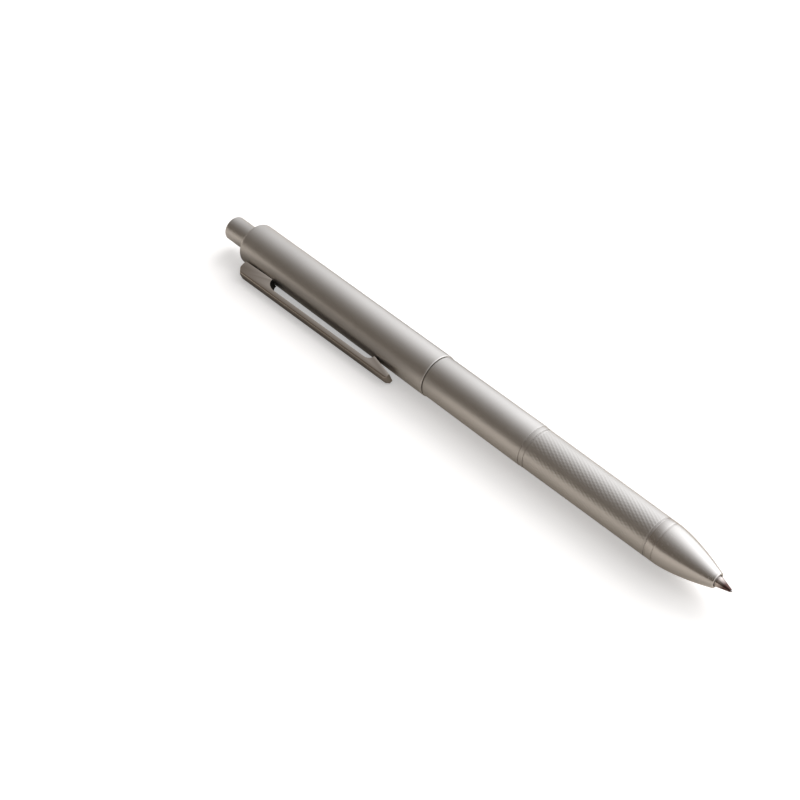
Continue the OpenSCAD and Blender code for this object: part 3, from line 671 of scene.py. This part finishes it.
def clip_slice(side):
    """Outline of the clip at a distance from its middle, as (station, out) points."""
    fall = EDGE_R - math.sqrt(max(0.0, EDGE_R ** 2 - max(0.0, abs(side) - CLIP_HALF_W + EDGE_R) ** 2))
    peak_z = CLIP_TIP_Z + FOOT_NOSE_L
    ramp_z = peak_z + FOOT_SEAT_L
    ramp_top = clip_out(ramp_z + FOOT_RAMP_L) - ARM_T
    hollow_z = BLOCK_Z - NOTCH_L
    hollow_r = clip_out(hollow_z) - ARM_T
    quarter = [math.radians(90 * i / QUARTER_STEPS) for i in range(QUARTER_STEPS + 1)]
    ramp = [(ramp_z + FOOT_RAMP_L * (1 - math.sin(a)), ramp_top - (ramp_top - SEAT_R) * (1 - math.cos(a)))
            for a in reversed(quarter)]
    hollow = [(hollow_z + NOTCH_L * math.sin(a), hollow_r - NOTCH_R + NOTCH_R * math.cos(a))
              for a in quarter]
    under = [(u, math.sqrt((UPPER_R + gap) ** 2 - side ** 2))
             for u, gap in ((BLOCK_Z, BLOCK_GAP_FRONT), (CLIP_END_Z, BLOCK_GAP_REAR))]
    return [
        (CLIP_TIP_Z, CLIP_OUT_FRONT - EDGE_R), (CLIP_TIP_Z, SEAT_R + FOOT_RISE), (peak_z, SEAT_R),
        *ramp, *hollow, *under,
        (CLIP_END_Z, CLIP_OUT_REAR - REAR_BEVEL - fall),
        (CLIP_END_Z - REAR_BEVEL, clip_out(CLIP_END_Z - REAR_BEVEL) - fall),
        (CLIP_TIP_Z + EDGE_R, clip_out(CLIP_TIP_Z + EDGE_R) - fall),
    ]


print("outline of", len(clip_slice(0.0)), "points")

# %% Clip bar
EDGE_STEPS = 8
edge = [CLIP_HALF_W - EDGE_R + EDGE_R * math.sin(math.radians(90 * i / EDGE_STEPS))
        for i in range(EDGE_STEPS + 1)]
sides = [-x for x in reversed(edge)] + [0.0] + edge
points = [place(u, out, sides[0]) for u, out in clip_slice(sides[0])]
clip = lone_vertex("clip_bar", points[0])
draw_line(points)
bpy.ops.mesh.select_all(action="SELECT")
bpy.ops.mesh.edge_face_add()
for side in sides[1:]:
    bpy.ops.mesh.extrude_region_move()
    bpy.ops.object.mode_set(mode="OBJECT")
    picked = [v for v in clip.data.vertices if v.select]
    old = points
    points = [place(u, out, side) for u, out in clip_slice(side)]
    for v in picked:
        nearest = min(range(len(old)), key=lambda i: (old[i] - v.co).length)
        v.co = points[nearest]
    bpy.ops.object.mode_set(mode="EDIT")
close_up()
bpy.ops.object.mode_set(mode="OBJECT")
soften(clip, width=0.1, segments=3, angle=35)
print("clip bar:", len(clip.data.vertices), "vertices")

# %% [markdown]
# ## Tongue of the clip
# Through the barrel's slot a narrow tongue reaches the hinge pin. It is drawn as its own outline,
# extruded once, joined to the bar, and bored for the pin. A blind hole in the block houses the spring.

# %% Tongue
PIN_Z, PIN_AT_R, LUG_W = 130.4, 3.5, 1.8
LUG_EYE_R, LUG_FRONT, LUG_REAR, EYE_STEPS = 0.75, 1.9, 1.5, 16
lug_top = clip_out(BLOCK_Z) - ARM_T / 2
eye = [(PIN_Z - LUG_EYE_R * math.cos(a), PIN_AT_R - LUG_EYE_R * math.sin(a))
       for a in (math.radians(180 * i / EYE_STEPS) for i in range(EYE_STEPS + 1))]
lug_line = [*eye, (PIN_Z + LUG_REAR, UPPER_R), (PIN_Z + LUG_REAR, lug_top),
            (PIN_Z - LUG_FRONT, lug_top), (PIN_Z - LUG_FRONT, UPPER_R)]
lug_points = [place(u, out, -LUG_W / 2) for u, out in lug_line]
lug = lone_vertex("clip_tongue", lug_points[0])
draw_line(lug_points)
bpy.ops.mesh.select_all(action="SELECT")
bpy.ops.mesh.edge_face_add()
bpy.ops.mesh.extrude_region_move(TRANSFORM_OT_translate={"value": SIDE_WAY * (LUG_W * MM)})
close_up()
bpy.ops.object.mode_set(mode="OBJECT")
soften(lug, width=0.06, angle=40)
print("tongue:", len(lug.data.vertices), "vertices")

# %% Pin hole and spring pocket
PIN_HOLE_R, PIN_DRILL_L = 0.5, 4.0
POCKET_Z, POCKET_R, POCKET_TOP, POCKET_LEAD = 134.8, 1.0, 7.2, 1.0


def drill(u, out, way, radius, depth, back=0.0):
    """A round cutter that starts at a point of the clip, or behind it, and runs one way."""
    start = place(u, out) - way * (back * MM)
    bpy.ops.object.select_all(action="DESELECT")
    bpy.ops.mesh.primitive_cylinder_add(vertices=48, radius=radius * MM, depth=depth * MM, calc_uvs=False,
                                        location=start + way * (depth / 2 * MM),
                                        rotation=way.to_track_quat("Z", "Y").to_euler())
    cutter = bpy.context.object
    bpy.ops.object.transform_apply()
    return cutter


carve(lug, drill(PIN_Z, PIN_AT_R, SIDE_WAY, PIN_HOLE_R, PIN_DRILL_L, back=PIN_DRILL_L / 2))
carve(clip, drill(POCKET_Z, UPPER_R - POCKET_LEAD, CLIP_WAY, POCKET_R,
                  POCKET_TOP - UPPER_R + POCKET_LEAD))
bpy.ops.object.select_all(action="DESELECT")
lug.select_set(True)
clip.select_set(True)
bpy.context.view_layer.objects.active = clip
bpy.ops.object.join()
hand_over(clip, "clip", smooth=30)

# %% [markdown]
# ## The shaded hollow
# Behind the arm the block is hollowed out. That hollow lies in shade and mirrors dark things, so it is
# painted near black here as painted shade. The faces that look
# forward there are picked by their station and normal and get a second material on the same piece.

# %% Hollow painted dark as shade
HOLLOW_PAST, FORWARD = 0.05, 0.2
# Painted shade: a near-black material stands in for the shade inside the hollow.
clip.data.materials.append(finish("hollow_painted_shade", (0.012, 0.012, 0.013), 0.0, 0.15, smear=0.1))
for face in clip.data.polygons:
    u = (TIP_X - face.center.x) / MM
    if BLOCK_Z - NOTCH_L < u < BLOCK_Z + HOLLOW_PAST and face.normal.x > FORWARD:
        face.material_index = 1
print("hollow:", sum(face.material_index for face in clip.data.polygons), "faces")

# %% [markdown]
# ## Springs
# A coil changes its length when its neighbour moves, and a rigid one would pass through that neighbour.
# Here each coil is only a merged copy of its solid. One that is pressed together rides with its body in a
# mesh of its own. One that stretches, or that sits under the clip, stays where it is, with no body.

# %% Springs that are pressed together
RED_STROKE, BUTTON_STROKE = 10.0, 3.5


def coil_of(node, rides):
    """A merged copy of a spring's solid that stands for it."""
    piece = bpy.data.objects.new(node + "_coil", nodes[node].data.copy())
    bpy.context.scene.collection.objects.link(piece)
    bpy.ops.object.select_all(action="DESELECT")
    bpy.context.view_layer.objects.active = piece
    bpy.ops.object.mode_set(mode="EDIT")
    close_up()
    bpy.ops.object.mode_set(mode="OBJECT")
    hand_over(piece, node, rides=rides)
    return piece


for node, joint, stroke in (("red_spring", "red_slide", RED_STROKE),
                            ("button_spring", "button_press", BUTTON_STROKE)):
    coil = coil_of(node, rides=True)
    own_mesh(coil)

# %% Springs between two bodies
coil = coil_of("black_spring", rides=False)
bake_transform(coil)
coil = coil_of("clip_spring", rides=False)
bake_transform(coil)

# %% [markdown]
# ## Stage
# Shiny metal shows what is round it. The dark middle of the barrel comes from a dim room behind the
# camera, the bright upper edge from a broad glow behind the pen, and the lower band from the floor.
# The glow is a smooth gradient of the world, so it has no edge. A lamp that the metal doesn't mirror
# lights the floor and draws the shadow. Floor and sky are white to the camera, and the floor keeps that
# shadow. To the metal the floor is painted duller, and darker still below the upper barrel: painted shade
# that the barrel's lower band mirrors as a painted reflection.

# %% Floor
FLOOR_SIZE = 40
# The mirrored colours are a painted reflection: a duller floor that only the metal sees.
PAPER_PLAIN, PAPER_MIRRORED = (0.90, 0.88, 0.87), (0.52, 0.472, 0.42)
GLEAM_PLAIN, GLEAM_MIRRORED = (0.395, 0.40, 0.405), (0.12, 0.11, 0.095)
DIM_Z, DIM_HALF_L, DIM_EDGE_L, DIM_LEVEL = 118.5, 20.5, 20.0, 0.4
bpy.ops.object.select_all(action="DESELECT")
bpy.ops.mesh.primitive_plane_add(size=FLOOR_SIZE, location=(0, 0, 0))
floor = bpy.context.object
floor.name = "floor"
floor_paint = bpy.data.materials.new("floor_white")
floor_paint.use_nodes = True
tree = floor_paint.node_tree
paper = tree.nodes["Principled BSDF"]
paper.inputs["Roughness"].default_value = 0.9
paper.inputs["Specular IOR Level"].default_value = 0.0
ray = add_node(tree, "ShaderNodeLightPath")
spot = add_node(tree, "ShaderNodeTexCoord").outputs["Object"]
along = add_node(tree, "ShaderNodeSeparateXYZ", {0: spot}).outputs["X"]
# Painted shade: the floor's colour for the metal darkens round station DIM_Z.
away = math_node(tree, "ABSOLUTE", math_node(tree, "SUBTRACT", along, station(DIM_Z)))
painted_shade_fade = add_node(tree, "ShaderNodeMapRange",
                {"Value": away, "From Min": DIM_HALF_L * MM, "From Max": (DIM_HALF_L + DIM_EDGE_L) * MM,
                 "To Min": DIM_LEVEL}, interpolation_type="SMOOTHSTEP").outputs[0]


def floor_colour(plain, mirrored):
    """A colour for the camera, and a painted duller one for the metal, with painted shade below the upper
    barrel.
    """
    faded = add_node(tree, "ShaderNodeVectorMath", {0: mirrored, "Scale": painted_shade_fade}, operation="SCALE")
    mixed = add_node(tree, "ShaderNodeMixRGB", {"Fac": ray.outputs["Is Glossy Ray"], "Color1": (*plain, 1),
                                                "Color2": faded.outputs[0]})
    return mixed.outputs[0]


tree.links.new(floor_colour(PAPER_PLAIN, PAPER_MIRRORED), paper.inputs["Base Color"])
gleam = floor_colour(GLEAM_PLAIN, GLEAM_MIRRORED)
sight = math_node(tree, "MAXIMUM", ray.outputs["Is Camera Ray"], ray.outputs["Is Glossy Ray"])
bright = add_node(tree, "ShaderNodeEmission", {"Color": gleam, "Strength": sight})
both = add_node(tree, "ShaderNodeAddShader", {0: paper.outputs[0], 1: bright.outputs[0]})
tree.links.new(both.outputs[0], tree.nodes["Material Output"].inputs["Surface"])
floor.data.materials.append(floor_paint)
print("floor", FLOOR_SIZE, "m wide, dimmed for the metal round station", DIM_Z)

# %% Shadow lamp
LAMP_AT, LAMP_SIZE, LAMP_ENERGY = Vector((-0.25, 0.75, 0.60)), 0.7, 4
bpy.ops.object.select_all(action="DESELECT")
bpy.ops.object.light_add(type="AREA", location=LAMP_AT)
lamp = bpy.context.object
lamp.name = "shadow_lamp"
lamp.data.shape = "DISK"
lamp.data.size = LAMP_SIZE
lamp.data.energy = LAMP_ENERGY
lamp.rotation_euler = (-LAMP_AT).to_track_quat("-Z", "Y").to_euler()
lamp.visible_glossy = False
print("lamp of", LAMP_ENERGY, "W,", round(LAMP_AT.length, 2), "m away")

# %% Glow behind the pen
GLOW_WAY = Vector((0.34, 0.78, 0.47)).normalized()
GLOW_POWER, GLOW_LEVEL = 3.6, 1.72
GLOW_COLOUR, ROOM_COLOUR, WHITE = (0.98, 1.0, 1.02, 1), (0.132, 0.110, 0.088, 1), (1, 1, 1, 1)
world = bpy.data.worlds.new("dim_room")
bpy.context.scene.world = world
world.use_nodes = True
tree = world.node_tree
ahead = add_node(tree, "ShaderNodeTexCoord").outputs["Generated"]
facing = add_node(tree, "ShaderNodeVectorMath", {0: ahead, 1: GLOW_WAY}, operation="DOT_PRODUCT")
half = add_node(tree, "ShaderNodeMapRange", {"Value": facing.outputs["Value"], "From Min": -1.0})
level = math_node(tree, "MULTIPLY", math_node(tree, "POWER", half.outputs[0], GLOW_POWER), GLOW_LEVEL)
room = tree.nodes["Background"]
room.inputs["Color"].default_value = ROOM_COLOUR
light = add_node(tree, "ShaderNodeBackground", {"Color": GLOW_COLOUR, "Strength": level})
both = add_node(tree, "ShaderNodeAddShader", {0: room.outputs[0], 1: light.outputs[0]})
white = add_node(tree, "ShaderNodeBackground", {"Color": WHITE, "Strength": 1.0})
ray = add_node(tree, "ShaderNodeLightPath")
straight = math_node(tree, "MAXIMUM", ray.outputs["Is Camera Ray"], ray.outputs["Is Transmission Ray"])
sky = add_node(tree, "ShaderNodeMixShader", {0: straight, 1: both.outputs[0], 2: white.outputs[0]})
tree.links.new(sky.outputs[0], tree.nodes["World Output"].inputs["Surface"])
print("glow of", GLOW_LEVEL, "from", [round(x, 2) for x in GLOW_WAY])
